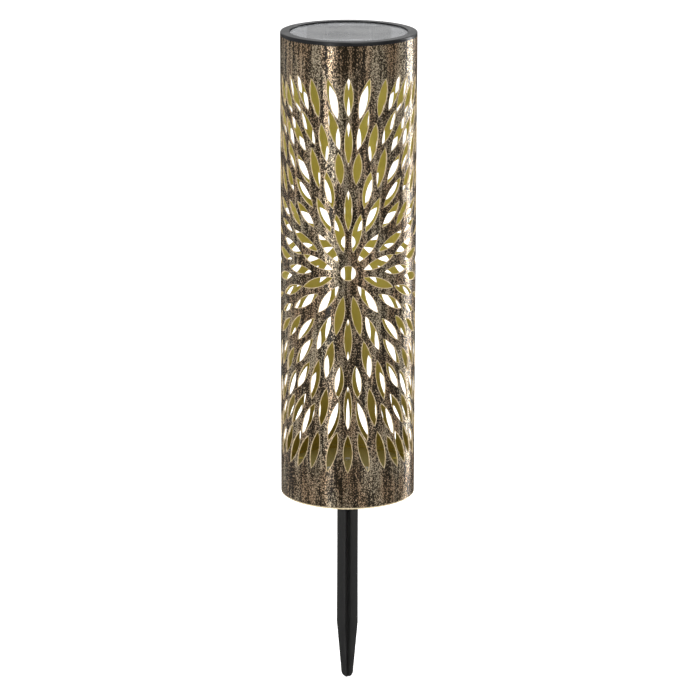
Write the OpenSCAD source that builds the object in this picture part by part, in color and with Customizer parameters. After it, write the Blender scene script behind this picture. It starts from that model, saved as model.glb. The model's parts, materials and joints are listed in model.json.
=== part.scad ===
// Solar garden light: a perforated steel sleeve on a ground stake, lit from its
// solar cap. Millimetres, +Z up. The origin is on the axis at the sleeve's lower
// rim, which is the ground line: the stake hangs below it.

/* [Shade] */
// Outer diameter of the sleeve
shade_d = 100; // [98:0.5:102]
// Height of the sleeve
shade_h = 346; // [343:0.5:352]
// Sheet thickness of the sleeve and of the floor plate
sheet = 0.8; // [0.6:0.1:1]
// Height of the floor plate's underside above the lower rim
floor_z = 17.5; // [12.2:0.1:20]
// Height of the floor plate's upturned flange
flange_h = 3.1; // [2:0.1:5]

/* [Leaf pattern] */
// Width of a full leaf
leaf_w = 6.4; // [5:0.1:6.6]
// Greatest width of the leaves on the rear medallion's upright axis
rear_axis_w = 2.4; // [2:0.1:6.6]
// Height of the centre of the leaf pattern
pattern_z = 179; // [176:0.5:182]
// Diameter of the round hole at the hub of each medallion
hub_d = 10.8; // [8:0.2:12]
// Height of that hole above the centre of the pattern
hub_rise = 0.5; // [0:0.5:2]
// Stretch of the pattern's upper half
upper_stretch = 0.98; // [0.96:0.01:1]
// Stretch of the pattern's lower half
lower_stretch = 1.03; // [1:0.01:1.04]

/* [Ground stake] */
// Length of the stake below the lower rim
stake_l = 149.5; // [135:0.5:160]
// Length of the tapered point
point_l = 44; // [35:1:50]
// Half width across the ribs
rib_r = 8; // [7.5:0.1:8.2]
// Thickness of a rib
rib_t = 1.4; // [1.2:0.1:2]
// Turn of the ribs about the axis, in degrees
rib_turn = -16; // [-45:1:45]
// Radius of the round spigot at the stake's head
spigot_r = 7; // [6:0.5:8]
// Length of the spigot inside its socket
spigot_l = 9; // [7:0.5:9]

/* [Cap] */
// Thickness of the cap's rim above the sleeve
rim_t = 2.7; // [2.4:0.1:3.5]
// Radius of the round pocket that holds the solar panel
pocket_r = 43.3; // [42.5:0.1:44]
// Depth of the skirt inside the sleeve
skirt_l = 15.5; // [14:0.5:18]
// Depth of the module cover below the cap's deck
module_l = 19.6; // [19:0.1:22]

/* [Electrics] */
// Diameter of the rechargeable AA cell
cell_d = 14.2; // [13.5:0.1:14.5]
// Length of the cell's can
cell_l = 49.5; // [49:0.1:50]
// Diameter of the light emitting diode
led_d = 5; // [3:1:5]
// Travel of the switch
switch_travel = 3; // [2:0.5:4]

/* [Hidden] */
$fn = 96;

// Sleeve and floor
shade_r = shade_d / 2;
inner_r = shade_r - sheet;
half_turn = PI * shade_r;      // way round the sleeve from one medallion to the next
leaf_steps = 4;                // straight steps along each side of a leaf
seam_s = half_turn / 2;        // where two medallions meet
floor_top = floor_z + sheet;

// Socket under the floor
socket_wall = 3;
socket_bottom = 1;
bore_r = spigot_r + 0.05;
bore_top = socket_bottom + spigot_l + 0.5;
socket_flange_r = 22;
socket_flange_t = 2;
rivet_pcd_r = 16;
rivet_r = 1.6;

// Stake
collar_r = 9.5;
collar_t = 2.5;
point_flare = 0.15;
tip_r = 4.4;

// Cap, from its top downwards
deck_t = 1.8;
cap_top = shade_h + rim_t;
panel_drop = 0.9;              // the window lies this far below the rim
window_t = 0.7;
cells_t = 0.2;
backing_t = 0.6;
deck_top = cap_top - panel_drop - window_t - cells_t - backing_t;
deck_bottom = deck_top - deck_t;
panel_r = pocket_r - 0.2;
skirt_r = shade_r - sheet - 0.5;
skirt_in = skirt_r - 4;
skirt_wall = 1.8;
skirt_bottom = shade_h - skirt_l;
seal_r = 1.04;
seal_z = skirt_bottom + 7.3;
seal_ring_r = skirt_in + skirt_wall + seal_r + 0.01;

// Module cover
cover_r = skirt_in - 1.2;
cover_wall = 1.6;
gasket_t = 0.6;
cover_bottom = deck_bottom - module_l;
cover_floor = cover_bottom + cover_wall;
cover_top = deck_bottom - gasket_t;
boss_pcd_r = 38;
boss_r = 3.2;
screw_r = 1.5;
screw_l = 10;
head_r = 2.8;
head_h = 1.8;

// Battery compartment, with the cell along X
cell_y = -17;
cell_z = cover_floor + cell_d / 2 + 1;
box_minus = -28.5;
box_plus = 28;
contact_t = 0.5;
cell_end = box_plus - contact_t;     // tip of the plus nub
nub_l = 1;
box_wall = 1.2;
door_hole = [53, 16];
door_plate = [60, 19];
door_t = 1.6;
door_gap = 0.3;
door_screw_x = 33;
door_screw_r = 1.4;
door_boss_r = 2.8;
door_boss_h = 6;

// Circuit board and what it carries
board_y = [-3.5, 22.5];
board_x = 28;
board_t = 1.6;
board_z = cover_floor + 9;
board_screw_at = [[-23, 17], [23, 17]];
led_flange_r = led_d / 2 + 0.4;
led_body_l = 8.6;
lens_r = 6;
lens_wall = 1;
switch_at = [17, 4];
switch_size = [9, 4, 4.4];
slot_clear = 0.5;
lead_x = [-20, -16];
lead_y = 8;
lead_r = 0.6;

// Leaves of one quadrant of a medallion. Each is [arc in, height in, arc out, height out]:
// the two tips, measured round the sleeve from the medallion's upright axis and up from
// the pattern's centre. Every leaf is mirrored to the other three quadrants.
ring_1 = [[11.5, 3, 35.5, 12], [7, 9, 22.5, 29], [3.5, 16.5, 9, 45]];
ring_2 = [[37.5, 12, 59.5, 21], [23, 16, 45, 29], [13, 31.5, 23.5, 56.5]];
ring_3 = [[38.5, 33.5, 51.5, 51], [26, 34, 41.5, 51.5], [11.5, 49.5, 16.5, 76.5], [5.5, 67.5, 7.5, 91]];
ring_4 = [[27, 49, 43, 69.5], [30, 66.5, 41.5, 87], [22, 64, 28, 93.5], [16, 84.5, 20.5, 112.5]];
ring_5 = [[6.5, 93.5, 14.5, 123], [25.5, 96.5, 37, 120.5], [33.5, 90.5, 48, 115]];
ring_6 = [[8, 116.5, 15.5, 146], [22.5, 117, 28.5, 145], [31, 121.5, 41.5, 146], [38.5, 119, 50.5, 145]];
side_1 = [[48.5, 6, 70, 10.5], [48, 27.5, 62.5, 34.5], [51, 38, 65.5, 50.5], [46, 58.5, 55.5, 77.5]];
side_2 = [[44, 75, 52.5, 95.5], [45.5, 93, 55, 113.5], [48, 116.5, 57, 139.5]];
side_3 = [[55.5, 55.5, 63.5, 75], [56, 80, 64, 101.5], [56, 99.5, 65, 120.5], [58, 120.5, 66, 142.5]];
side_4 = [[63.5, 22, 76, 27], [66.5, 36, 74, 53], [66, 57.5, 73, 79], [66, 84, 73, 106.5], [68, 111.5, 73.5, 133]];
leaves = concat(ring_1, ring_2, ring_3, ring_4, ring_5, ring_6, side_1, side_2, side_3, side_4);
// Upright leaves on a medallion's axis: [lower, upper, width]. Those between medallions: [lower, upper]
axis_leaves = [[33, 63, 5.4], [82.5, 114, 5.4], [118.5, 146.5, 6.4]];
seam_leaves = [[37, 53.5], [61.5, 86], [92, 117], [123, 146.5]];
// Level leaves beside the hub, and the one that crosses from medallion to medallion
level_in = 28.5;
level_out = 51.5;
crossing_in = 66.5;

// ---------------------------------------------------------------- helpers

// A leaf on its side: two equal arcs that meet at both tips, each in straight steps
module leaf_2d(length, width) {
    arc_r = (pow(length, 2) + pow(width, 2)) / (4 * width);
    reach = asin(length / 2 / arc_r);
    side = [for (i = [0:leaf_steps]) let (a = reach * (2 * i / leaf_steps - 1))
        [arc_r * sin(a), arc_r * cos(a) - arc_r + width / 2]];
    polygon(concat(side, [for (i = [leaf_steps - 1:-1:1]) [side[i][0], -side[i][1]]]));
}

// Short leaves are slimmer than long ones
function leaf_width(length, widest) = min(widest, 0.26 * length);

// Height above the pattern's centre, or below it in the lower half
function rise(half, z) = z * (half > 0 ? upper_stretch : -lower_stretch);

// A cutter for one leaf, through the sleeve's wall, from tip [s0, z0] to tip [s1, z1]
module leaf_cutter(s0, z0, s1, z1, widest = leaf_w) {
    length = norm([s1 - s0, z1 - z0]);
    turn = (s0 + s1) / 2 / shade_r * 180 / PI;
    rotate([0, 0, turn])
        translate([0, -shade_r, pattern_z + (z0 + z1) / 2])
            rotate([90, 0, 0])
                linear_extrude(height = 6, center = true)
                    rotate(atan2(z1 - z0, s1 - s0)) leaf_2d(length, leaf_width(length, widest));
}

// Half of the pattern: one medallion and the leaves on one of its borders. The leaves on its
// upright axis are no wider than axis_w.
module medallion_cutters(axis_w) {
    for (side = [-1, 1], half = [-1, 1], tips = leaves)
        leaf_cutter(side * tips[0], rise(half, tips[1]), side * tips[2], rise(half, tips[3]));
    for (half = [-1, 1], ends = axis_leaves)
        leaf_cutter(0, rise(half, ends[0]), 0, rise(half, ends[1]), min(ends[2], axis_w));
    for (half = [-1, 1], ends = seam_leaves)
        leaf_cutter(seam_s, rise(half, ends[0]), seam_s, rise(half, ends[1]));
    for (side = [-1, 1]) leaf_cutter(side * level_in, 0, side * level_out, 0);
    leaf_cutter(crossing_in, 0, half_turn - crossing_in, 0);
    translate([0, -shade_r, pattern_z + hub_rise]) rotate([90, 0, 0])
        cylinder(d = hub_d, h = 6, center = true);
}

// A ring with a square section
module ring(r_in, r_out, z_low, z_high) {
    translate([0, 0, z_low]) difference() {
        cylinder(r = r_out, h = z_high - z_low);
        translate([0, 0, -1]) cylinder(r = r_in, h = z_high - z_low + 2);
    }
}

// An upright rod
module rod(x, y, r, z_low, z_high) {
    translate([x, y, z_low]) cylinder(r = r, h = z_high - z_low);
}

// A box given by its two corners
module span(low, high) {
    translate(low) cube(high - low);
}

// A screw with its head at the bottom, its neck at z = 0 and a cross recess
module screw_up(shank_r, shank_l) {
    difference() {
        union() {
            cylinder(r = shank_r, h = shank_l);
            translate([0, 0, -head_h]) cylinder(r = head_r, h = head_h);
        }
        for (turn = [0, 90]) rotate(turn)
            translate([-1.6, -0.4, -head_h - 1]) cube([3.2, 0.8, 2]);
    }
}

// ---------------------------------------------------------------- stake and shade

// One plate of the cross: straight flanks, a slight flare, then the point
module rib_plate() {
    top = socket_bottom - collar_t;
    shoulder = point_l - stake_l;
    tip = -stake_l;
    flank = [[rib_r, top], [rib_r, shoulder / 2], [rib_r + point_flare, shoulder],
             [tip_r, tip + 3], [tip_r - 0.9, tip + 1], [tip_r - 2.4, tip]];
    outline = concat(flank, [for (i = [5:-1:0]) [-flank[i][0], flank[i][1]]]);
    rotate([90, 0, 0]) linear_extrude(height = rib_t, center = true) polygon(outline);
}

module ground_stake() {
    color([0.06, 0.06, 0.06]) union() {
        for (turn = [0, 90]) rotate([0, 0, rib_turn + turn]) rib_plate();
        translate([0, 0, socket_bottom - collar_t]) cylinder(r = collar_r, h = collar_t);
        translate([0, 0, socket_bottom - 0.5]) cylinder(r = spigot_r, h = spigot_l + 0.5);
    }
}

module shade_sleeve() {
    color([0.32, 0.25, 0.18]) difference() {
        cylinder(r = shade_r, h = shade_h);
        translate([0, 0, -1]) cylinder(r = inner_r, h = shade_h + 2);
        medallion_cutters(leaf_w);
        rotate([0, 0, 180]) medallion_cutters(rear_axis_w);
    }
}

module floor_plate() {
    color([0.5, 0.45, 0.16]) difference() {
        union() {
            translate([0, 0, floor_z]) cylinder(r = inner_r, h = sheet);
            ring(inner_r - sheet, inner_r, floor_z, floor_z + flange_h);
        }
        for (turn = [90, 210, 330]) rotate(turn) rod(rivet_pcd_r, 0, rivet_r, floor_z - 1, floor_top + 1);
        for (turn = [30, 150, 270]) rotate(turn) rod(inner_r - 8, 0, 2.5, floor_z - 1, floor_top + 1);
    }
}

module stake_socket() {
    color([0.08, 0.08, 0.08]) difference() {
        union() {
            rod(0, 0, socket_flange_r, floor_z - socket_flange_t, floor_z);
            rod(0, 0, bore_r + socket_wall, socket_bottom, floor_z - 1);
        }
        rod(0, 0, bore_r, socket_bottom - 1, bore_top);
        for (turn = [90, 210, 330]) rotate(turn)
            rod(rivet_pcd_r, 0, rivet_r, floor_z - socket_flange_t - 1, floor_z + 1);
    }
}

module socket_rivets() {
    color([0.7, 0.7, 0.68]) for (turn = [90, 210, 330]) rotate(turn) {
        rod(rivet_pcd_r, 0, rivet_r, floor_z - socket_flange_t - 0.5, floor_top + 0.5);
        rod(rivet_pcd_r, 0, 2 * rivet_r, floor_z - socket_flange_t - 1.2, floor_z - socket_flange_t);
        rod(rivet_pcd_r, 0, 1.4 * rivet_r, floor_top, floor_top + 1.2);
    }
}

// ---------------------------------------------------------------- cap and solar panel

// Half section of the cap: deck, rim with a rounded outer edge, and skirt with its ribs
module cap_section() {
    rim_round = 0.9;
    difference() {
        union() {
            translate([0, deck_bottom]) square([pocket_r + 1, deck_t]);
            translate([pocket_r, shade_h]) square([shade_r - pocket_r, rim_t - rim_round]);
            translate([pocket_r, shade_h]) square([shade_r - pocket_r - rim_round, rim_t]);
            translate([shade_r - rim_round, cap_top - rim_round]) circle(r = rim_round);
            translate([skirt_in, skirt_bottom]) square([skirt_wall, skirt_l + 1]);
            translate([skirt_in, deck_bottom]) square([skirt_r - skirt_in, shade_h - deck_bottom + 1]);
            for (z = [seal_z - seal_r - 1.5, seal_z + seal_r])
                translate([skirt_in, z]) square([skirt_r - skirt_in, 1.5]);
        }
        translate([-1, deck_top]) square([pocket_r + 1, cap_top]);
    }
}

module cap_housing() {
    color([0.05, 0.05, 0.05]) difference() {
        union() {
            rotate_extrude() cap_section();
            for (turn = [0:90:270]) rotate(turn)
                rod(boss_pcd_r, 0, boss_r, cover_floor, deck_bottom + 0.5);
        }
        for (turn = [0:90:270]) rotate(turn)
            rod(boss_pcd_r, 0, screw_r, cover_floor - 1, cover_bottom + screw_l);
        for (x = lead_x) rod(x, lead_y, 1.2, deck_bottom - 1, deck_top + 1);
    }
}

module cap_seal() {
    color([0.1, 0.1, 0.1]) rotate_extrude() translate([seal_ring_r, seal_z]) circle(r = seal_r);
}

module panel_backing() {
    color([0.03, 0.03, 0.04]) rod(0, 0, panel_r, deck_top, deck_top + backing_t);
}

// Four strips of silicon side by side
module solar_cells() {
    color([0.05, 0.07, 0.14]) for (i = [-1.5:1:1.5])
        translate([i * 15.4 - 7.4, -28, deck_top + backing_t]) cube([14.8, 56, cells_t]);
}

// Clear window with a small bevel round its upper edge
module panel_window() {
    low = deck_top + backing_t + cells_t;
    bevel = 0.4;
    color([0.55, 0.56, 0.58]) rotate_extrude()
        polygon([[0, low], [panel_r, low], [panel_r, low + window_t - bevel],
                 [panel_r - bevel, low + window_t], [0, low + window_t]]);
}

// ---------------------------------------------------------------- light module

module module_cover() {
    color([0.09, 0.09, 0.09]) difference() {
        union() {
            rod(0, 0, cover_r, cover_bottom, cover_floor);
            ring(cover_r - cover_wall, cover_r, cover_bottom, cover_top);
            for (x = [box_minus - box_wall, box_plus])
                span([x, cell_y - 8, cover_floor - 0.5], [x + box_wall, cell_y + 8, cell_z + 5]);
            for (x = [-1, 1]) rod(x * door_screw_x, cell_y, door_boss_r, cover_floor - 0.5, cover_floor + door_boss_h);
            for (at = board_screw_at) rod(at[0], at[1], 2.6, cover_floor - 0.5, board_z);
        }
        for (turn = [0:90:270]) rotate(turn) rod(boss_pcd_r, 0, screw_r, cover_bottom - 1, cover_floor + 1);
        span([-door_hole[0] / 2, cell_y - door_hole[1] / 2, cover_bottom - 1],
             [door_hole[0] / 2, cell_y + door_hole[1] / 2, cover_floor + 1]);
        for (x = [-1, 1]) rod(x * door_screw_x, cell_y, door_screw_r + 0.05, cover_bottom - 1, cover_floor + 5);
        for (at = board_screw_at) rod(at[0], at[1], 1, board_z - 6, board_z + 1);
        rod(0, 0, lens_r, cover_bottom - 1, cover_floor + 1);
        switch_slot();
    }
}

// Way of the switch's stem through the cover's floor
module switch_slot() {
    span([switch_at[0] - 1.5 - slot_clear, switch_at[1] - 1 - slot_clear, cover_bottom - 1],
         [switch_at[0] + 1.5 + switch_travel + slot_clear, switch_at[1] + 1 + slot_clear, cover_floor + 1]);
}

module cover_gasket() {
    color([0.2, 0.2, 0.2]) ring(cover_r - cover_wall, cover_r, cover_top, deck_bottom);
}

module cover_screws() {
    color([0.75, 0.75, 0.75]) for (turn = [0:90:270]) rotate(turn)
        translate([boss_pcd_r, 0, cover_bottom]) screw_up(screw_r, screw_l);
}

// Lid of the battery compartment: a plate with an ear at each end, and a plug that fills the hole
module battery_door() {
    color([0.09, 0.09, 0.09]) difference() {
        union() {
            span([-door_plate[0] / 2, cell_y - door_plate[1] / 2, cover_bottom - door_t],
                 [door_plate[0] / 2, cell_y + door_plate[1] / 2, cover_bottom]);
            for (x = [-1, 1]) rod(x * door_screw_x, cell_y, 4.5, cover_bottom - door_t, cover_bottom);
            span([-door_hole[0] / 2 + door_gap, cell_y - door_hole[1] / 2 + door_gap, cover_bottom - 0.5],
                 [door_hole[0] / 2 - door_gap, cell_y + door_hole[1] / 2 - door_gap, cover_floor]);
        }
        for (x = [-1, 1]) rod(x * door_screw_x, cell_y, door_screw_r, cover_bottom - door_t - 1, cover_bottom + 1);
    }
}

module door_screws() {
    color([0.75, 0.75, 0.75]) for (x = [-1, 1])
        translate([x * door_screw_x, cell_y, cover_bottom - door_t]) screw_up(door_screw_r, 7);
}

module battery_cell() {
    can_end = cell_end - nub_l;
    color([0.2, 0.45, 0.25]) translate([0, cell_y, cell_z]) rotate([0, 90, 0]) {
        translate([0, 0, can_end - cell_l]) cylinder(r = cell_d / 2, h = cell_l);
        translate([0, 0, can_end - 0.5]) cylinder(r = 2.7, h = nub_l + 0.5);
    }
}

module plus_contact() {
    color([0.8, 0.78, 0.7])
        span([box_plus - contact_t, cell_y - 6, cell_z - 5], [box_plus, cell_y + 6, cell_z + 6]);
}

// Points of a ring of the spring wire, at an angle along the coil
function coil_ring(turn, wire_r, sides) =
    let (
        t = turn / 1080,
        coil_r = 4.6 - 2 * t,
        x = box_minus + contact_t + 0.35 + 4.2 * t
    )
    [for (i = [0:sides - 1])
        let (a = 360 * i / sides, reach = coil_r + wire_r * cos(a))
        [x + wire_r * sin(a), cell_y + reach * cos(turn), cell_z + reach * sin(turn)]];

// Conical spring on the minus plate
module coil_spring(wire_r, sides, steps) {
    rings = [for (k = [0:steps]) coil_ring(1080 * k / steps, wire_r, sides)];
    walls = [for (k = [0:steps - 1], i = [0:sides - 1])
        let (j = (i + 1) % sides)
        [k * sides + i, k * sides + j, (k + 1) * sides + j, (k + 1) * sides + i]];
    first = [for (i = [sides - 1:-1:0]) i];
    last = [for (i = [0:sides - 1]) steps * sides + i];
    polyhedron(points = [for (r = rings) each r], faces = concat([first], walls, [last]), convexity = 10);
}

module minus_contact() {
    color([0.8, 0.78, 0.7]) {
        span([box_minus, cell_y - 6, cell_z - 5], [box_minus + contact_t, cell_y + 6, cell_z + 6]);
        coil_spring(0.4, 8, 54);
    }
}

module circuit_board() {
    color([0.1, 0.35, 0.2]) difference() {
        span([-board_x, board_y[0], board_z], [board_x, board_y[1], board_z + board_t]);
        for (at = board_screw_at) rod(at[0], at[1], 1, board_z - 1, board_z + board_t + 1);
    }
}

module board_screws() {
    color([0.75, 0.75, 0.75]) for (at = board_screw_at) {
        rod(at[0], at[1], 1, board_z - 5, board_z + board_t + 0.5);
        rod(at[0], at[1], 2.2, board_z + board_t, board_z + board_t + 1.4);
    }
}

module driver_chip() {
    top = board_z + board_t;
    color([0.05, 0.05, 0.05]) span([-14, 12, top], [-9, 15.5, top + 1.8]);
}

// Axial coil lying on the board, on two bent legs
module inductor() {
    top = board_z + board_t;
    color([0.35, 0.55, 0.4]) {
        translate([-4, 17, top + 1.8]) rotate([0, 90, 0]) cylinder(r = 1.5, h = 8);
        for (x = [-5, 4]) {
            translate([x, 17, top + 1.8]) rotate([0, 90, 0]) cylinder(r = 0.3, h = 1.3);
            rod(x + (x < 0 ? 0 : 1), 17, 0.3, top, top + 1.8);
        }
    }
}

module led() {
    body = led_body_l - led_d / 2;
    color([0.95, 0.93, 0.8]) union() {
        rod(0, 0, led_flange_r, board_z - 1, board_z);
        rod(0, 0, led_d / 2, board_z - body, board_z - 0.5);
        translate([0, 0, board_z - body]) sphere(r = led_d / 2);
    }
}

// Lower half of a ball that hangs at the underside of the cover
module hanging_dome(r) {
    intersection() {
        translate([0, 0, cover_bottom]) sphere(r = r);
        rod(0, 0, 2 * r, cover_bottom - 2 * r, cover_bottom);
    }
}

// Frosted dome that closes the light's hole in the cover
module led_lens() {
    color([0.9, 0.9, 0.88]) difference() {
        union() {
            rod(0, 0, lens_r, cover_bottom, cover_floor + 0.5);
            rod(0, 0, lens_r + 1.5, cover_floor, cover_floor + 1);
            hanging_dome(lens_r);
        }
        rod(0, 0, lens_r - lens_wall, cover_bottom - 0.01, cover_floor + 2);
        hanging_dome(lens_r - lens_wall);
    }
}

module switch_body() {
    color([0.55, 0.56, 0.58]) difference() {
        span([switch_at[0] - 3, switch_at[1] - switch_size[1] / 2, board_z - switch_size[2]],
             [switch_at[0] - 3 + switch_size[0], switch_at[1] + switch_size[1] / 2, board_z]);
        span([switch_at[0] - 1.8, switch_at[1] - 1.2, board_z - switch_size[2] - 1],
             [switch_at[0] + 1.8 + switch_travel, switch_at[1] + 1.2, board_z - switch_size[2] + 1.5]);
    }
}

// Stem of the switch, with three grip ridges on its end
module switch_slider() {
    low = cover_bottom - 1.5;
    high = board_z - switch_size[2] + 1.2;
    color([0.05, 0.05, 0.05]) difference() {
        span([switch_at[0] - 1.5, switch_at[1] - 1, low], [switch_at[0] + 1.5, switch_at[1] + 1, high]);
        for (x = [-0.6, 0.6])
            span([switch_at[0] + x - 0.2, switch_at[1] - 2, low - 1], [switch_at[0] + x + 0.2, switch_at[1] + 2, low + 0.4]);
    }
}

// Leads from the panel straight down to the board
module panel_leads() {
    color([0.7, 0.1, 0.08]) for (x = lead_x) rod(x, lead_y, lead_r, board_z + board_t, deck_top);
}

// One lead: from a contact's edge, along the compartment, inwards and down to the board
module battery_lead(x, end_x) {
    high = cell_z + 3.8;
    corner_y = cell_y + 16.5;
    translate([x, cell_y + 6, high]) rotate([-90, 0, 0]) cylinder(r = lead_r, h = 10.5);
    translate([x, corner_y, high]) sphere(r = lead_r);
    translate([min(x, end_x), corner_y, high]) rotate([0, 90, 0]) cylinder(r = lead_r, h = abs(x - end_x));
    translate([end_x, corner_y, high]) sphere(r = lead_r);
    rod(end_x, corner_y, lead_r, board_z + board_t, high);
}

module battery_leads() {
    color([0.6, 0.1, 0.08]) {
        battery_lead(box_minus + contact_t + 0.2, -25);
        battery_lead(box_plus - contact_t - 0.2, 25);
    }
}

ground_stake();
shade_sleeve();
floor_plate();
stake_socket();
socket_rivets();
cap_housing();
cap_seal();
panel_backing();
solar_cells();
panel_window();
module_cover();
cover_gasket();
cover_screws();
battery_door();
door_screws();
battery_cell();
plus_contact();
minus_contact();
circuit_board();
board_screws();
driver_chip();
inductor();
led();
led_lens();
switch_body();
switch_slider();
panel_leads();
battery_leads();
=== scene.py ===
"""Looks of the solar garden light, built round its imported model.

Everything is in metres, in the model's own frame: +Z up the shade's axis, z = 0 at the
shade's lower rim, and -Y towards the front medallion of the leaf pattern.
"""

import json
import math

import bpy
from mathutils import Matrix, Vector
from mathutils.geometry import delaunay_2d_cdt


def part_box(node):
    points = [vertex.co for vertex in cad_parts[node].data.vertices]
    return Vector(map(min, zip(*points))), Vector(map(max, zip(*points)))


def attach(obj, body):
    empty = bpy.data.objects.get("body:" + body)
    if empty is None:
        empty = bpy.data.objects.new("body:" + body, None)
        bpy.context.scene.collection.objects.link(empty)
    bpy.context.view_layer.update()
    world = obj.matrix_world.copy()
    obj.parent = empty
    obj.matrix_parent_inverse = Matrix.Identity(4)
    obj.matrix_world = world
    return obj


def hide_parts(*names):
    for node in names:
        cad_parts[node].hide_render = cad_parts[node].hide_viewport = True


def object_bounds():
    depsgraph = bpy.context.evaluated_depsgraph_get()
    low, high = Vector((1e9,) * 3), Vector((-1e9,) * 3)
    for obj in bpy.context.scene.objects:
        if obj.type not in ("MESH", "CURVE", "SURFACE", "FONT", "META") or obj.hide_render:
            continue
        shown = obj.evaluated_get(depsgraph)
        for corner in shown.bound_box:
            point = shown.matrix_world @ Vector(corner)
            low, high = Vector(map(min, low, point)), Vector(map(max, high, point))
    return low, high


MM = 0.001

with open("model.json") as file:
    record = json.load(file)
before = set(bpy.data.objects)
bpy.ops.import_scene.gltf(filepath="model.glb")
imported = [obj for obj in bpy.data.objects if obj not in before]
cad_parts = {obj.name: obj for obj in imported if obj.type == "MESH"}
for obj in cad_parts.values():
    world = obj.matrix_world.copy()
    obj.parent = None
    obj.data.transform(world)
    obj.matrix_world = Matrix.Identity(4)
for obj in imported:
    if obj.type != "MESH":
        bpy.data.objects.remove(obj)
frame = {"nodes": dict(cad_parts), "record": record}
cad_low, cad_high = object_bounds()
sleeve_low, sleeve_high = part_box("shade_sleeve")

# Driving sizes: the sleeve's own, from the frame, and the thickness of its sheet
SHADE_R = sleeve_high.x
SHADE_H = sleeve_high.z
SHEET = 0.8 * MM
# Distance round the sleeve from a medallion's axis to the line halfway to the other medallion
SEAM_S = math.pi * SHADE_R / 2

# ------------------------------------------------------------------ leaf pattern
PATTERN_Z = 179 * MM
HUB_R = 5.4 * MM
HUB_RISE = 0.5 * MM
UPPER_STRETCH = 0.98
LOWER_STRETCH = 1.03
# The leaves as the model has them, in millimetres: each has two tips, given by the distance
# round the sleeve from the medallion's upright axis and the height from the pattern's centre.
LEAF_W = 6.4
REAR_AXIS_W = 2.4
RING_1 = [(11.5, 3, 35.5, 12), (7, 9, 22.5, 29), (3.5, 16.5, 9, 45)]
RING_2 = [(37.5, 12, 59.5, 21), (23, 16, 45, 29), (13, 31.5, 23.5, 56.5)]
RING_3 = [(38.5, 33.5, 51.5, 51), (26, 34, 41.5, 51.5), (11.5, 49.5, 16.5, 76.5), (5.5, 67.5, 7.5, 91)]
RING_4 = [(27, 49, 43, 69.5), (30, 66.5, 41.5, 87), (22, 64, 28, 93.5), (16, 84.5, 20.5, 112.5)]
RING_5 = [(6.5, 93.5, 14.5, 123), (25.5, 96.5, 37, 120.5), (33.5, 90.5, 48, 115)]
RING_6 = [(8, 116.5, 15.5, 146), (22.5, 117, 28.5, 145), (31, 121.5, 41.5, 146), (38.5, 119, 50.5, 145)]
SIDE_1 = [(48.5, 6, 70, 10.5), (48, 27.5, 62.5, 34.5), (51, 38, 65.5, 50.5), (46, 58.5, 55.5, 77.5)]
SIDE_2 = [(44, 75, 52.5, 95.5), (45.5, 93, 55, 113.5), (48, 116.5, 57, 139.5)]
SIDE_3 = [(55.5, 55.5, 63.5, 75), (56, 80, 64, 101.5), (56, 99.5, 65, 120.5), (58, 120.5, 66, 142.5)]
SIDE_4 = [(63.5, 22, 76, 27), (66.5, 36, 74, 53), (66, 57.5, 73, 79), (66, 84, 73, 106.5),
          (68, 111.5, 73.5, 133)]
LEAVES = RING_1 + RING_2 + RING_3 + RING_4 + RING_5 + RING_6 + SIDE_1 + SIDE_2 + SIDE_3 + SIDE_4
# Upright leaves on a medallion's axis: (lower, upper, width). Those between medallions: (lower, upper)
AXIS_LEAVES = [(33, 63, 5.4), (82.5, 114, 5.4), (118.5, 146.5, 6.4)]
SEAM_LEAVES = [(37, 53.5), (61.5, 86), (92, 117), (123, 146.5)]
# Level leaves beside the hub, and the one that crosses from medallion to medallion
LEVEL_IN, LEVEL_OUT = 28.5, 51.5
CROSSING_IN = 66.5
# A short leaf is narrower: its width is this share of its length.
SHORT_LEAF = 0.26

# ------------------------------------------------------------------ net of the sleeve
# Columns of points on each side of a medallion's axis, and the height from row to row
COLUMNS = 30
ROW_STEP = 4.5 * MM
# Points of the net keep this far from a hole's worn edge.
NET_GAP = 0.9 * MM
# No hole reaches further than this from its own centre.
HOLE_REACH = 22 * MM
# At a leaf's tips, where the worn edge runs to a point, it is this many times as wide.
TIP_OUT = 1.3
# Steps of even length along one side of a leaf, and round the hub hole
LEAF_STEPS = 12
HUB_STEPS = 32
# Points are told apart to a tenth of a micrometre.
POINT_STEPS = 1e7
NET_TOLERANCE = 1e-7
TINY = 1e-9


# ------------------------------------------------------------------ small helpers

def link_object(name, data):
    """A new object with that mesh, light or camera, in the scene."""
    made = bpy.data.objects.new(name, data)
    bpy.context.scene.collection.objects.link(made)
    return made


class Builder:
    """Collects points with a shading normal each, and faces with a material index."""

    def __init__(self):
        self.points = []
        self.normals = []
        self.index = {}
        self.faces = []
        self.slots = []

    def point(self, place, normal):
        key = tuple(round(value * POINT_STEPS) for value in place)
        if key not in self.index:
            self.index[key] = len(self.points)
            self.points.append(place)
            self.normals.append(normal)
        return self.index[key]

    def face(self, corners, slot):
        kept = [c for i, c in enumerate(corners) if c != corners[i - 1]]
        if len(kept) >= 3:
            self.faces.append(kept)
            self.slots.append(slot)

    def mesh(self, name, materials):
        mesh = bpy.data.meshes.new(name)
        mesh.from_pydata(self.points, [], self.faces)
        for material in materials:
            mesh.materials.append(material)
        mesh.polygons.foreach_set("material_index", self.slots)
        mesh.polygons.foreach_set("use_smooth", [True] * len(self.faces))
        mesh.normals_split_custom_set_from_vertices(self.normals)
        mesh.update()
        return mesh


# ------------------------------------------------------------------ perforated sleeve

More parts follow.
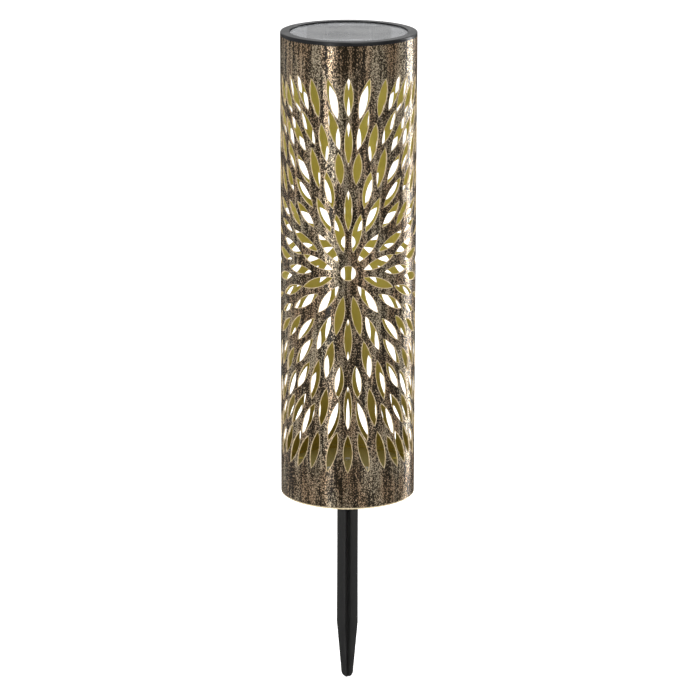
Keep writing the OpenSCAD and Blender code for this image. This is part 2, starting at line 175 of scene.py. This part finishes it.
class Cut:
    """Outline of one hole: (s, z) points anticlockwise, each with its way out into the sheet.

    Here s is the distance round the sleeve from the medallion's axis, and z the height.
    """

    def __init__(self, points, ways, closed, centre, inside):
        self.points = points
        self.ways = ways
        self.closed = closed
        self.centre = centre
        self.inside = inside

    def offset(self, distance):
        return [(p[0] + w[0] * distance, p[1] + w[1] * distance) for p, w in zip(self.points, self.ways)]


def leaf_cut(s0, z0, s1, z1, widest=LEAF_W):
    """A leaf between two tips, in millimetres from the pattern's centre: two arcs of even steps."""
    s0, s1 = s0 * MM, s1 * MM
    z0, z1 = PATTERN_Z + z0 * MM, PATTERN_Z + z1 * MM
    length = math.hypot(s1 - s0, z1 - z0)
    width = min(widest * MM, SHORT_LEAF * length)
    along = ((s1 - s0) / length, (z1 - z0) / length)
    across = (-along[1], along[0])
    middle = ((s0 + s1) / 2, (z0 + z1) / 2)
    arc_r = (length ** 2 + width ** 2) / (4 * width)
    sink = arc_r - width / 2
    reach = math.asin(length / 2 / arc_r)
    points, ways = [], []
    for side in (1, -1):
        for i in range(LEAF_STEPS):
            a = side * reach * (1 - 2 * i / LEAF_STEPS)
            x, y = arc_r * math.sin(a), side * (arc_r * math.cos(a) - sink)
            out = (math.sin(a), side * math.cos(a))
            if i == 0:
                out = (math.copysign(TIP_OUT, x), 0)
            points.append((middle[0] + x * along[0] + y * across[0],
                           middle[1] + x * along[1] + y * across[1]))
            ways.append((out[0] * along[0] + out[1] * across[0], out[0] * along[1] + out[1] * across[1]))

    def inside(s, z, margin):
        x = (s - middle[0]) * along[0] + (z - middle[1]) * along[1]
        y = (s - middle[0]) * across[0] + (z - middle[1]) * across[1]
        return x * x + (abs(y) + sink) ** 2 < (arc_r + margin) ** 2

    return Cut(points, ways, True, middle, inside)


def hub_cut():
    """The round hole at the medallion's hub."""
    angles = [2 * math.pi * i / HUB_STEPS for i in range(HUB_STEPS)]
    centre = (0, PATTERN_Z + HUB_RISE)
    ways = [(math.cos(a), math.sin(a)) for a in angles]
    points = [(centre[0] + HUB_R * w[0], centre[1] + HUB_R * w[1]) for w in ways]

    def inside(s, z, margin):
        return math.hypot(s, z - centre[1]) < HUB_R + margin

    return Cut(points, ways, True, centre, inside)


def half_of(cut, border):
    """The part of a hole on the middle's side of the upright line s = border, as an open run."""
    keep = [abs(p[0]) <= abs(border) + TINY for p in cut.points]
    count = len(keep)
    start = next(i for i in range(count) if keep[i] and not keep[i - 1])
    order = [(start + i) % count for i in range(sum(keep))]
    points, ways = [], []
    for i in order:
        on_border = abs(abs(cut.points[i][0]) - abs(border)) < TINY
        points.append((border, cut.points[i][1]) if on_border else cut.points[i])
        ways.append((0, cut.ways[i][1]) if on_border else cut.ways[i])
    return Cut(points, ways, False, cut.centre, cut.inside)


def medallion_cuts(axis_w):
    """Every hole of one half of the sleeve, with axis leaves no wider than axis_w millimetres."""
    edge = SEAM_S / MM
    cuts = [hub_cut()]
    for half in (1, -1):
        up = UPPER_STRETCH if half > 0 else -LOWER_STRETCH
        for side in (1, -1):
            cuts += [leaf_cut(side * s0, up * z0, side * s1, up * z1) for s0, z0, s1, z1 in LEAVES]
            cuts += [half_of(leaf_cut(side * edge, up * low, side * edge, up * high), side * SEAM_S)
                     for low, high in SEAM_LEAVES]
        cuts += [leaf_cut(0, up * low, 0, up * high, min(width, axis_w)) for low, high, width in AXIS_LEAVES]
    for side in (1, -1):
        cuts.append(leaf_cut(side * LEVEL_IN, 0, side * LEVEL_OUT, 0))
        crossing = leaf_cut(side * CROSSING_IN, 0, side * (2 * edge - CROSSING_IN), 0)
        cuts.append(half_of(crossing, side * SEAM_S))
    return cuts


def sheet_triangles(cuts, band, low, high):
    """Flat net of one half of the sleeve between its holes: points and triangles."""
    step_s = SEAM_S / COLUMNS
    points, holes = [], []
    for cut in cuts:
        holes.append([len(points) + i for i in range(len(cut.points))])
        points += cut.offset(band)
    rows = math.ceil((high - low) / ROW_STEP)
    for row in range(rows + 1):
        z = low + (high - low) * row / rows
        shift = 0.5 * (row % 2) if 0 < row < rows else 0
        last = COLUMNS if shift == 0 else COLUMNS - 1
        columns = [-SEAM_S, SEAM_S] + [(i + shift) * step_s for i in range(1 - COLUMNS, last)]
        for s in columns:
            near = any(abs(s - c.centre[0]) < HOLE_REACH and abs(z - c.centre[1]) < HOLE_REACH
                       and c.inside(s, z, band + NET_GAP) for c in cuts)
            if not near:
                points.append((s, z))
    result = delaunay_2d_cdt([Vector(p) for p in points], [], holes, 0, NET_TOLERANCE)
    net = [points[given[0]] if given else tuple(place) for place, given in zip(result[0], result[3])]
    return net, [tri for tri, hole in zip(result[2], result[5]) if not hole]


def sleeve_mesh(name, materials):
    """Sleeve with rounded cut edges: slot 0 outside, 1 worn edges, 2 inside."""
    outside, edge, inside = 0, 1, 2
    bevel, band = 0.2 * MM, 0.5 * MM
    build = Builder()
    for turn, axis_w in ((0, LEAF_W), (math.pi, REAR_AXIS_W)):
        cuts = medallion_cuts(axis_w)
        net, triangles = sheet_triangles(cuts, band, bevel, SHADE_H - bevel)

        def wrap(s, z, depth, way):
            """Point at a depth below the outer face; way is (out, round, up) for its shading."""
            a = s / SHADE_R + turn
            out, tangent = (math.sin(a), -math.cos(a)), (math.cos(a), math.sin(a))
            r = SHADE_R - depth
            normal = Vector((way[0] * out[0] + way[1] * tangent[0],
                             way[0] * out[1] + way[1] * tangent[1], way[2]))
            return build.point((r * out[0], r * out[1], z), normal.normalized())

        outer = [wrap(s, z, 0, (1, 0, 0)) for s, z in net]
        inner = [wrap(s, z, SHEET, (-1, 0, 0)) for s, z in net]
        for a, b, c in triangles:
            build.face([outer[a], outer[b], outer[c]], outside)
            build.face([inner[c], inner[b], inner[a]], inside)
        for cut in cuts:
            rows = []
            for distance, depth, way in ((band, 0, 1), (bevel, 0, 1), (0, bevel, 0),
                                         (0, SHEET - bevel, 0), (bevel, SHEET, -1), (band, SHEET, -1)):
                row = []
                for (s, z), w in zip(cut.offset(distance), cut.ways):
                    shade = (way, 0, 0) if way else (0, -w[0], -w[1])
                    row.append(wrap(s, z, depth, shade))
                rows.append(row)
            count = len(cut.points)
            for k, slot in enumerate((edge, edge, edge, edge, inside)):
                upper, lower = rows[k], rows[k + 1]
                for i in range(count if cut.closed else count - 1):
                    j = (i + 1) % count
                    build.face([upper[i], upper[j], lower[j], lower[i]], slot)
        for z_rim, up, slot in ((0, -1, edge), (SHADE_H, 1, outside)):
            z_side = z_rim - up * bevel
            ring = [SEAM_S * i / COLUMNS for i in range(-COLUMNS, COLUMNS + 1)]
            rows = [[wrap(s, z_side, 0, (1, 0, 0)) for s in ring],
                    [wrap(s, z_rim, bevel, (0, 0, up)) for s in ring],
                    [wrap(s, z_rim, SHEET - bevel, (0, 0, up)) for s in ring],
                    [wrap(s, z_side, SHEET, (-1, 0, 0)) for s in ring]]
            for upper, lower in zip(rows, rows[1:]):
                for i in range(2 * COLUMNS):
                    corners = [upper[i], upper[i + 1], lower[i + 1], lower[i]]
                    build.face(corners if up > 0 else corners[::-1], slot)
    return build.mesh(name, materials)


# ------------------------------------------------------------------ materials

class Surface:
    """One procedural material: a Principled shader, and the nodes that feed it."""

    def __init__(self, name, **fixed):
        self.material = bpy.data.materials.new(name)
        self.material.use_nodes = True
        self.nodes = self.material.node_tree.nodes
        self.links = self.material.node_tree.links
        self.shader = self.nodes["Principled BSDF"]
        self.place = self.node("TexCoord").outputs["Object"]
        for socket, value in fixed.items():
            self.feed(socket, value)

    def put(self, socket, value):
        """Links a socket, or sets it to a plain value."""
        if isinstance(value, bpy.types.NodeSocket):
            self.links.new(value, socket)
        elif isinstance(value, tuple) and socket.type == "RGBA":
            socket.default_value = (*value, 1)
        else:
            socket.default_value = value

    def node(self, kind, inputs=None, **settings):
        made = self.nodes.new("ShaderNode" + kind)
        for name, value in settings.items():
            setattr(made, name, value)
        for name, value in (inputs or {}).items():
            self.put(made.inputs[name], value)
        return made

    def feed(self, socket, value):
        """Gives one socket of the shader its value; an underscore stands for a space in its name."""
        self.put(self.shader.inputs[socket.replace("_", " ")], value)

    def noise(self, size, detail=2.0, stretch=(1, 1, 1), shift=0.0):
        """Noise from 0 to 1 whose blotches are about size metres, longer along a small stretch."""
        scale = tuple(k / size for k in stretch)
        moved = self.node("Mapping", {"Vector": self.place, "Scale": scale, "Location": (shift,) * 3})
        made = self.node("TexNoise", {"Vector": moved.outputs[0], "Scale": 1.0, "Detail": detail})
        return made.outputs[0]

    def along(self, axis):
        """The place along one axis, in metres."""
        return self.node("SeparateXYZ", {0: self.place}).outputs[axis]

    def math(self, operation, a, b=0.0):
        return self.node("Math", {0: a, 1: b}, operation=operation).outputs[0]

    def spread(self, value, low, high, to_low=0.0, to_high=1.0):
        """Stretches low to high of a value over another range, and holds it there."""
        inputs = {"Value": value, "From Min": low, "From Max": high, "To Min": to_low, "To Max": to_high}
        return self.node("MapRange", inputs).outputs[0]

    def mix(self, factor, a, b):
        made = self.node("Mix", {"Factor": factor}, data_type="RGBA")
        self.put(made.inputs[6], a)
        self.put(made.inputs[7], b)
        return made.outputs[2]

    def bump(self, height, strength, depth):
        made = self.node("Bump", {"Height": height, "Strength": strength, "Distance": depth})
        self.feed("Normal", made.outputs[0])


RUBBED_GOLD = (0.95, 0.8, 0.52)


def moulded(name, dark, light, rough, grain=0.4 * MM, relief=0.02 * MM, **fixed):
    """Moulded plastic or rubber: a fine grain, and faint broad changes of shade and gloss."""
    s = Surface(name, **fixed)
    broad = s.noise(18 * MM, 3)
    fine = s.noise(grain, 2)
    s.feed("Base_Color", s.mix(s.spread(broad, 0.3, 0.7), dark, light))
    wear = s.math("ADD", broad, s.math("MULTIPLY", fine, 0.4))
    s.feed("Roughness", s.spread(wear, 0.4, 0.95, rough[0], rough[1]))
    s.bump(fine, 0.35, relief)
    return s.material


def plated(name, dark, light, rough, stretch=(1, 1, 0.05)):
    """Bare or plated metal with fine brush marks along its stretch."""
    s = Surface(name, Metallic=1.0)
    marks = s.noise(0.5 * MM, 4, stretch)
    s.feed("Base_Color", s.mix(s.spread(marks, 0.3, 0.7), dark, light))
    s.feed("Roughness", s.spread(marks, 0.2, 0.8, rough[0], rough[1]))
    s.bump(marks, 0.15, 0.02 * MM)
    return s.material


def patina_steel():
    """Black-brown paint with copper and gold dry-brushed upright over it, and a rubbed lower hem."""
    s = Surface("patina_steel")
    streaks = s.noise(2.8 * MM, 3, (1, 1, 0.07))
    patches = s.noise(16 * MM, 2, (1, 1, 0.35), 5.0)
    flecks = s.noise(1.0 * MM, 2, (1, 1, 0.7))
    grain = s.noise(0.58 * MM, 1, (1, 1, 0.8), 9.0)
    lift = s.math("ADD", s.math("MULTIPLY", streaks, 0.65), s.math("MULTIPLY", patches, 0.2))
    cover = s.math("ADD", s.math("MULTIPLY", flecks, 0.8), lift)
    cover = s.math("ADD", cover, s.math("MULTIPLY", grain, 0.9))
    gilt = s.spread(cover, 1.3, 1.43)
    hem = s.spread(s.along("Z"), sleeve_low.z + 0.5 * MM, sleeve_low.z + 1.3 * MM, 0.9, 0)
    paint = s.mix(s.spread(streaks, 0.35, 0.65), (0.012, 0.008, 0.003), (0.04, 0.027, 0.012))
    metal = s.mix(s.spread(patches, 0.4, 0.6), (0.78, 0.53, 0.33), (0.78, 0.65, 0.46))
    s.feed("Base_Color", s.mix(hem, s.mix(gilt, paint, metal), RUBBED_GOLD))
    s.feed("Metallic", s.math("MULTIPLY", s.spread(gilt, 0, 1, 0.05, 0.85), s.math("SUBTRACT", 1, hem)))
    s.feed("Specular_IOR_Level", s.spread(gilt, 0, 1, 0.25, 0.5))
    s.feed("Roughness", s.spread(grain, 0.3, 0.7, 0.18, 0.34))
    s.bump(s.math("ADD", flecks, grain), 0.5, 0.12 * MM)
    return s.material


def worn_edge():
    """Cut edges, where the coat is rubbed through to pale gold."""
    s = Surface("worn_edge", Metallic=0.35)
    rub = s.noise(1.4 * MM, 3, (1, 1, 0.6))
    s.feed("Base_Color", s.mix(s.spread(rub, 0.3, 0.62), (0.6, 0.42, 0.22), RUBBED_GOLD))
    s.feed("Roughness", s.spread(rub, 0.3, 0.7, 0.5, 0.3))
    s.bump(rub, 0.3, 0.05 * MM)
    return s.material


def inner_paint():
    """Olive gold paint inside the sleeve, with painted shade that darkens it towards the foot, and greyed
    where it lies flat, dusty in part and in part a painted reflection.
    """
    s = Surface("inner_paint", Metallic=0.35)
    cloud = s.noise(14 * MM, 3, (1, 1, 0.3))
    fine = s.noise(0.7 * MM, 2)
    olive = s.mix(s.spread(cloud, 0.35, 0.65), (0.66, 0.58, 0.12), (0.76, 0.66, 0.17))
    facing = s.node("SeparateXYZ", {0: s.node("TexCoord").outputs["Normal"]}).outputs["Z"]
    # Painted shade: the olive darkens from 190 mm down to 60 mm, towards the foot of the sleeve.
    foot = s.spread(s.along("Z"), 60 * MM, 190 * MM, 0.8, 0)
    olive = s.mix(foot, olive, (0.36, 0.27, 0.045))
    # Faces that look up turn greyer: dusty in part, and in part a painted reflection.
    dust_and_sheen = s.spread(facing, 0.6, 0.9, 0, 0.8)
    s.feed("Base_Color", s.mix(dust_and_sheen, olive, (0.36, 0.31, 0.11)))
    s.feed("Roughness", s.spread(fine, 0.3, 0.7, 0.38, 0.5))
    s.bump(fine, 0.25, 0.04 * MM)
    return s.material


def silicon():
    """Dark blue cells with fine silver fingers and wider bars across them."""
    s = Surface("silicon", Roughness=0.3, Coat_Weight=0.3)
    crystal = s.noise(4 * MM, 1)
    body = s.mix(s.spread(crystal, 0.3, 0.7), (0.012, 0.016, 0.05), (0.02, 0.03, 0.08))
    fingers = s.math("PINGPONG", s.along("Y"), 1.0 * MM)
    bars = s.math("PINGPONG", s.along("X"), 9 * MM)
    line = s.math("MAXIMUM", s.math("LESS_THAN", fingers, 0.06 * MM), s.math("LESS_THAN", bars, 0.3 * MM))
    s.feed("Base_Color", s.mix(line, body, (0.55, 0.56, 0.58)))
    return s.material


def window_clear():
    """Clear cover of the panel, faintly clouded by handling."""
    s = Surface("window_clear", Transmission_Weight=0.85, IOR=1.5, Base_Color=(0.75, 0.77, 0.8))
    haze = s.noise(22 * MM, 3)
    s.feed("Roughness", s.spread(haze, 0.3, 0.7, 0.12, 0.28))
    return s.material


def cell_wrap():
    """Plain green shrink sleeve with a gold band at the plus end, and bare metal at both ends."""
    s = Surface("cell_wrap", Roughness=0.3, Coat_Weight=0.4)
    low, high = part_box("battery_cell")
    x = s.along("X")
    band = s.math("GREATER_THAN", x, high.x - 12 * MM)
    plus_end = s.math("GREATER_THAN", x, high.x - 1.6 * MM)
    minus_end = s.math("LESS_THAN", x, low.x + 0.6 * MM)
    bare = s.math("MAXIMUM", plus_end, minus_end)
    scuff = s.spread(s.noise(5 * MM, 3), 0.3, 0.7)
    green = s.mix(scuff, (0.05, 0.26, 0.1), (0.08, 0.34, 0.14))
    s.feed("Base_Color", s.mix(bare, s.mix(band, green, (0.6, 0.42, 0.12)), (0.7, 0.7, 0.68)))
    s.feed("Metallic", bare)
    return s.material


def board_green():
    """Solder mask over copper tracks that show as paler lines."""
    s = Surface("board_green", Roughness=0.35)
    weave = s.noise(0.5 * MM, 1)
    lanes = s.math("PINGPONG", s.math("ADD", s.along("X"), s.math("MULTIPLY", s.along("Y"), 0.5)), 1.6 * MM)
    track = s.math("LESS_THAN", lanes, 0.35 * MM)
    mask = s.mix(weave, (0.01, 0.1, 0.03), (0.015, 0.14, 0.045))
    s.feed("Base_Color", s.mix(track, mask, (0.03, 0.24, 0.08)))
    s.bump(track, 0.3, 0.03 * MM)
    return s.material


def coil_green():
    """Lacquered body of the coil, with brown, black and gold value bands."""
    s = Surface("coil_green", Roughness=0.3)
    x = s.along("X")
    half_band = 0.4
    colour = s.mix(s.spread(s.noise(1.5 * MM), 0.3, 0.7), (0.2, 0.38, 0.22), (0.28, 0.48, 0.28))
    for start, tint in ((-2.6, (0.2, 0.08, 0.03)), (-0.6, (0.01, 0.01, 0.01)), (1.6, (0.6, 0.42, 0.12))):
        inside = s.math("COMPARE", x, (start + half_band) * MM)
        # The third input of the node just made says how far from the band's middle still counts.
        s.nodes[-1].inputs[2].default_value = half_band * MM
        colour = s.mix(inside, colour, tint)
    s.feed("Base_Color", colour)
    return s.material


def led_resin():
    """Clear warm resin, clouded pale by the phosphor in it."""
    s = Surface("led_resin", Transmission_Weight=0.4, IOR=1.5, Roughness=0.15)
    cloud = s.noise(1.5 * MM, 2)
    s.feed("Base_Color", s.mix(cloud, (0.9, 0.78, 0.4), (0.98, 0.95, 0.8)))
    return s.material


def lens_frosted():
    """Frosted dome: white, half clear, with a fine grain."""
    s = Surface("lens_frosted", Transmission_Weight=0.5, IOR=1.49)
    grain = s.noise(0.5 * MM, 2)
    s.feed("Base_Color", s.mix(grain, (0.84, 0.84, 0.82), (0.92, 0.92, 0.9)))
    s.feed("Roughness", s.spread(grain, 0.3, 0.7, 0.45, 0.6))
    s.bump(grain, 0.3, 0.03 * MM)
    return s.material


FINISHES = {
    "stake_plastic": lambda: moulded("stake_plastic", (0.012, 0.012, 0.012), (0.02, 0.02, 0.019),
                                     (0.32, 0.5)),
    "patina_steel": patina_steel,
    "inner_paint": inner_paint,
    "black_plastic": lambda: moulded("black_plastic", (0.01, 0.01, 0.011), (0.016, 0.016, 0.017),
                                     (0.24, 0.4), Specular_IOR_Level=0.3),
    "rivet_alloy": lambda: plated("rivet_alloy", (0.6, 0.6, 0.6), (0.8, 0.8, 0.79), (0.3, 0.5)),
    "seal_rubber": lambda: moulded("seal_rubber", (0.014, 0.014, 0.014), (0.025, 0.025, 0.025), (0.6, 0.8)),
    "panel_black": lambda: moulded("panel_black", (0.01, 0.01, 0.013), (0.02, 0.02, 0.026), (0.5, 0.7)),
    "silicon": silicon,
    "window_clear": window_clear,
    "screw_steel": lambda: plated("screw_steel", (0.5, 0.5, 0.5), (0.72, 0.72, 0.7), (0.2, 0.4)),
    "cell_wrap": cell_wrap,
    "contact_metal": lambda: plated("contact_metal", (0.55, 0.53, 0.46), (0.75, 0.72, 0.64), (0.2, 0.35)),
    "board_green": board_green,
    "chip_black": lambda: moulded("chip_black", (0.012, 0.012, 0.012), (0.022, 0.022, 0.022), (0.5, 0.7)),
    "coil_green": coil_green,
    "led_resin": led_resin,
    "lens_frosted": lens_frosted,
    "switch_case": lambda: plated("switch_case", (0.42, 0.43, 0.45), (0.6, 0.61, 0.63), (0.3, 0.45)),
    "lead_red": lambda: moulded("lead_red", (0.45, 0.02, 0.015), (0.6, 0.035, 0.025), (0.4, 0.55)),
    "lead_black": lambda: moulded("lead_black", (0.01, 0.01, 0.01), (0.02, 0.02, 0.02), (0.4, 0.55)),
}
finish = {slot: make() for slot, make in FINISHES.items()}

# ------------------------------------------------------------------ pieces

for part in frame["record"]["subparts"]:
    node = frame["nodes"][part["node"]]
    node.data.materials.clear()
    node.data.materials.append(finish[part["material_slot"]])

sleeve_finishes = [finish["patina_steel"], worn_edge(), finish["inner_paint"]]
sleeve = link_object("sleeve_shell", sleeve_mesh("sleeve_shell", sleeve_finishes))
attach(sleeve, "shade")
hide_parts("shade_sleeve")

# ------------------------------------------------------------------ camera, floor, light

# The camera's height above the level, its tilt to one side, its distance and what it aims at
VIEW_RISE = math.radians(15.06)
VIEW_ROLL = math.radians(0.149)
VIEW_DISTANCE = 2.5
TARGET = Vector((0, 0, 0.1101))
SENSOR_W = 36
LENS = 173.6
CLIP_END = 50
FLOOR_HALF = 6
FLOOR_GAP = 0.5 * MM
# Strength of the surroundings above the horizon: on the camera's side, and at the back
DIM = 0.1
BRIGHT = 0.72
# Where that change begins and ends, and half the height over which the horizon blends,
# as parts of a direction of length 1
BACK_START = -0.2
BACK_FULL = 0.9
HORIZON_BLEND = 0.1
# Room below the horizon, as the sleeve mirrors it: (turn from the camera's side in degrees, brightness).
ROOM = [(-180, 0.02), (-152, 0.02), (-138, 0.36), (-62, 0.3), (-50, 0.2), (-24, 0.08),
        (-12, 0.02), (8, 0.03), (22, 0.5), (48, 0.4), (60, 0.16), (112, 0.12),
        (118, 0.25), (140, 0.25), (152, 0.02), (180, 0.02)]


def add_camera():
    """A long lens that looks a little down on the light."""
    data = bpy.data.cameras.new("camera")
    data.sensor_width = SENSOR_W
    data.lens = LENS
    data.clip_end = CLIP_END
    camera = link_object("camera", data)
    camera.location = TARGET + VIEW_DISTANCE * Vector((0, -math.cos(VIEW_RISE), math.sin(VIEW_RISE)))
    camera.rotation_euler = (TARGET - camera.location).to_track_quat("-Z", "Y").to_euler()
    camera.rotation_euler.rotate_axis("Z", VIEW_ROLL)
    bpy.context.scene.camera = camera


def add_strip(name, azimuth, rise, distance, size, power):
    """A soft strip light; azimuth turns from the camera's side, towards +X when positive."""
    data = bpy.data.lights.new(name, "AREA")
    data.shape = "RECTANGLE"
    data.size, data.size_y = size
    data.energy = power
    lamp = link_object(name, data)
    a = math.radians(azimuth)
    r = math.radians(rise)
    way = Vector((math.sin(a) * math.cos(r), -math.cos(a) * math.cos(r), math.sin(r)))
    lamp.location = TARGET + distance * way
    lamp.rotation_euler = (TARGET - lamp.location).to_track_quat("-Z", "Y").to_euler()
    lamp.visible_camera = False


def ramp(nodes, stops, span):
    """A brightness that runs straight from stop to stop; each stop is (place, brightness)."""
    node = nodes.new("ShaderNodeValToRGB")
    while len(node.color_ramp.elements) < len(stops):
        node.color_ramp.elements.new(0.5)
    for element, (place, bright) in zip(node.color_ramp.elements, stops):
        element.position = (place - span[0]) / (span[1] - span[0])
        element.color = (bright, bright, bright, 1)
    return node


def add_world():
    """White behind the object for the camera; for its light, a bright back above and a dim room below."""
    world = bpy.data.worlds.new("studio")
    world.use_nodes = True
    tree = world.node_tree
    nodes, links = tree.nodes, tree.links

    def math_node(operation, *values):
        node = nodes.new("ShaderNodeMath")
        node.operation = operation
        for slot, value in zip(node.inputs, values):
            if isinstance(value, (int, float)):
                slot.default_value = value
            else:
                links.new(value, slot)
        return node.outputs[0]

    place = nodes.new("ShaderNodeTexCoord")
    part = nodes.new("ShaderNodeSeparateXYZ")
    links.new(place.outputs["Generated"], part.inputs[0])
    x, y, z = (part.outputs[name] for name in "XYZ")
    turn = math_node("ARCTAN2", x, math_node("MULTIPLY", y, -1))
    room = ramp(nodes, ROOM, (-180, 180))
    links.new(math_node("MULTIPLY_ADD", turn, 1 / (2 * math.pi), 0.5), room.inputs[0])
    back = nodes.new("ShaderNodeMapRange")
    links.new(y, back.inputs["Value"])
    for name, value in (("From Min", BACK_START), ("From Max", BACK_FULL),
                        ("To Min", DIM), ("To Max", BRIGHT)):
        back.inputs[name].default_value = value
    above = nodes.new("ShaderNodeMapRange")
    links.new(z, above.inputs["Value"])
    for name, value in (("From Min", -HORIZON_BLEND), ("From Max", HORIZON_BLEND)):
        above.inputs[name].default_value = value
    lower = math_node("MULTIPLY", room.outputs[0], math_node("SUBTRACT", 1, above.outputs[0]))
    both = math_node("MULTIPLY_ADD", back.outputs[0], above.outputs[0], lower)
    path = nodes.new("ShaderNodeLightPath")
    sky = nodes["Background"]
    sky.inputs["Color"].default_value = (1, 1, 1, 1)
    links.new(math_node("MAXIMUM", path.outputs["Is Camera Ray"], both), sky.inputs["Strength"])
    bpy.context.scene.world = world
    bpy.context.scene.view_settings.view_transform = "Standard"


def add_floor():
    """A pale floor just under the stake's tip, which glows to white and is not mirrored."""
    mesh = bpy.data.meshes.new("floor")
    z = cad_low.z - FLOOR_GAP
    corners = [(x * FLOOR_HALF, y * FLOOR_HALF, z) for x, y in ((-1, -1), (1, -1), (1, 1), (-1, 1))]
    mesh.from_pydata(corners, [], [(0, 1, 2, 3)])
    pale = Surface("floor_pale", Roughness=0.9, Specular_IOR_Level=0.1, Emission_Color=(1, 1, 1),
                   Emission_Strength=0.9)
    pale.feed("Base_Color", pale.mix(pale.noise(0.4, 2), (0.93, 0.93, 0.93), (0.96, 0.96, 0.96)))
    mesh.materials.append(pale.material)
    floor = link_object("floor", mesh)
    floor.visible_glossy = False


add_camera()
add_world()
add_floor()
add_strip("top_soft", 0, 80, 2.5, (3.0, 3.0), 60)
add_strip("left_strip", -31, -1, 2.2, (0.2, 1.6), 12)
add_strip("right_rim", 124, 3, 2.0, (0.35, 1.6), 20)
